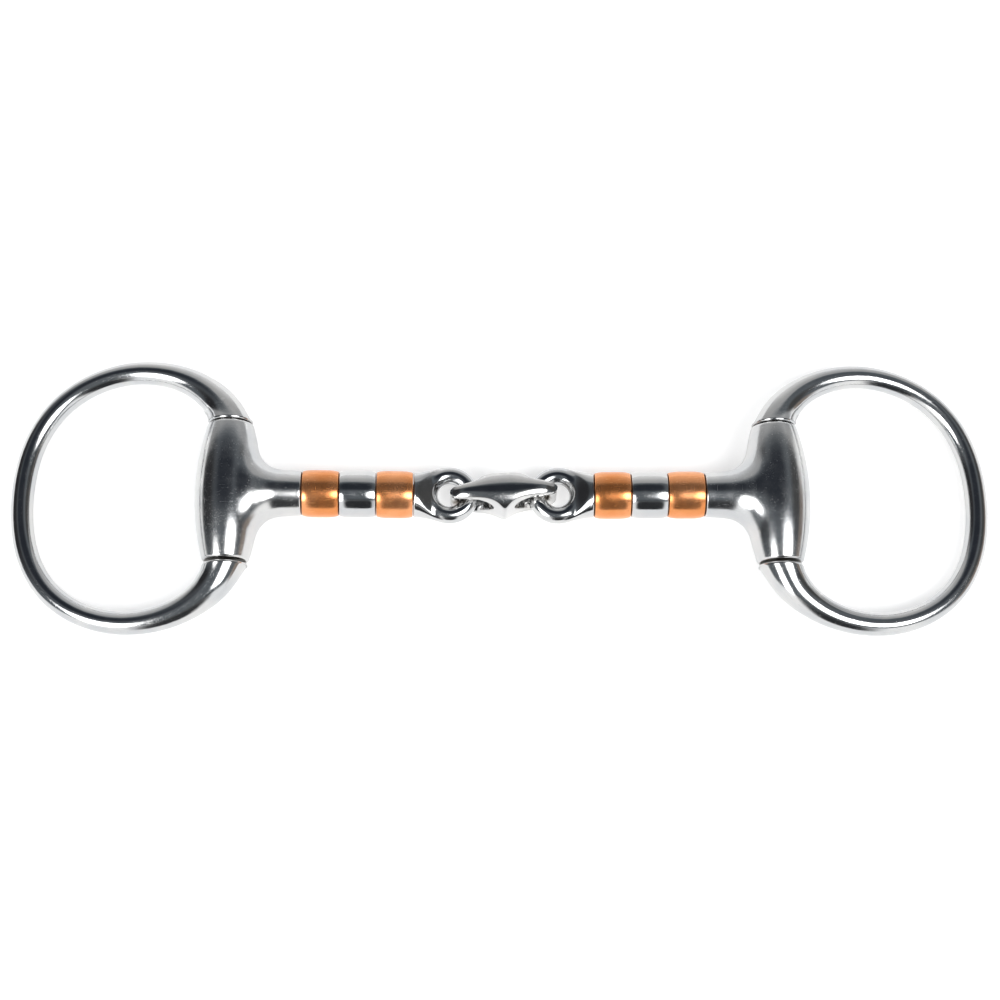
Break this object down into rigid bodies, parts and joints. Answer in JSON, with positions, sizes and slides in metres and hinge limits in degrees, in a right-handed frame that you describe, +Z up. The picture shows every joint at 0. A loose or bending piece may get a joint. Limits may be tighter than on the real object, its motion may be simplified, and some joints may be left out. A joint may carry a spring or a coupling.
{
  "type": "eggbutt snaffle bit",
  "caption": "Eggbutt snaffle bit: a double-jointed mouthpiece with an oval centre link and spinning steel and copper rollers, hinged to D-shaped cheek rings.",
  "frame": {"origin": "On the table under the middle of the centre link, at the bottom centre of the bounding box.", "axes": "+X along the mouthpiece from the left cheek to the right cheek, +Y along the butt barrels, +Z up from the table."},
  "size_m": [0.276, 0.0792, 0.0184],
  "materials": {
    "steel": "mirror-polished stainless steel with fine handling marks",
    "copper": "polished solid copper, slightly toned"
  },
  "bodies": {
    "link": {"centre_link": "steel"},
    "left_cannon": {"left_butt": "steel", "left_eye_spindle": "steel"},
    "left_cheek": {"left_cheek_ring": "steel", "left_upper_pivot_pin": "steel", "left_lower_pivot_pin": "steel"},
    "left_outer_copper_roller": {"left_outer_copper_roller": "copper"},
    "left_steel_roller": {"left_steel_roller": "steel"},
    "left_inner_copper_roller": {"left_inner_copper_roller": "copper"},
    "right_cannon": {"right_butt": "steel", "right_eye_spindle": "steel"},
    "right_cheek": {"right_cheek_ring": "steel", "right_upper_pivot_pin": "steel", "right_lower_pivot_pin": "steel"},
    "right_outer_copper_roller": {"right_outer_copper_roller": "copper"},
    "right_steel_roller": {"right_steel_roller": "steel"},
    "right_inner_copper_roller": {"right_inner_copper_roller": "copper"}
  },
  "joints": [
    {"name": "left_fold", "type": "hinge", "parent": "link", "child": "left_cannon", "pos_m": [-0.00945, 0, 0.007], "axis": [0, -1, 0], "range_deg": [-80, 80]},
    {"name": "left_cheek_swing", "type": "hinge", "parent": "left_cannon", "child": "left_cheek", "pos_m": [-0.0767, 0, 0.0092], "axis": [0, 1, 0], "range_deg": [-150, 160]},
    {"name": "left_outer_copper_spin", "type": "hinge", "parent": "left_cannon", "child": "left_outer_copper_roller", "pos_m": [-0.05108, 0, 0.00836], "axis": [-0.9995, 0, 0.0327], "continuous": true},
    {"name": "left_steel_spin", "type": "hinge", "parent": "left_cannon", "child": "left_steel_roller", "pos_m": [-0.04078, 0, 0.00802], "axis": [-0.9995, 0, 0.0327], "continuous": true},
    {"name": "left_inner_copper_spin", "type": "hinge", "parent": "left_cannon", "child": "left_inner_copper_roller", "pos_m": [-0.03049, 0, 0.00769], "axis": [-0.9995, 0, 0.0327], "continuous": true},
    {"name": "right_fold", "type": "hinge", "parent": "link", "child": "right_cannon", "pos_m": [0.00945, 0, 0.007], "axis": [0, 1, 0], "range_deg": [-80, 80]},
    {"name": "right_cheek_swing", "type": "hinge", "parent": "right_cannon", "child": "right_cheek", "pos_m": [0.0767, 0, 0.0092], "axis": [0, -1, 0], "range_deg": [-150, 160]},
    {"name": "right_outer_copper_spin", "type": "hinge", "parent": "right_cannon", "child": "right_outer_copper_roller", "pos_m": [0.05108, 0, 0.00836], "axis": [0.9995, 0, 0.0327], "continuous": true},
    {"name": "right_steel_spin", "type": "hinge", "parent": "right_cannon", "child": "right_steel_roller", "pos_m": [0.04078, 0, 0.00802], "axis": [0.9995, 0, 0.0327], "continuous": true},
    {"name": "right_inner_copper_spin", "type": "hinge", "parent": "right_cannon", "child": "right_inner_copper_roller", "pos_m": [0.03049, 0, 0.00769], "axis": [0.9995, 0, 0.0327], "continuous": true}
  ]
}
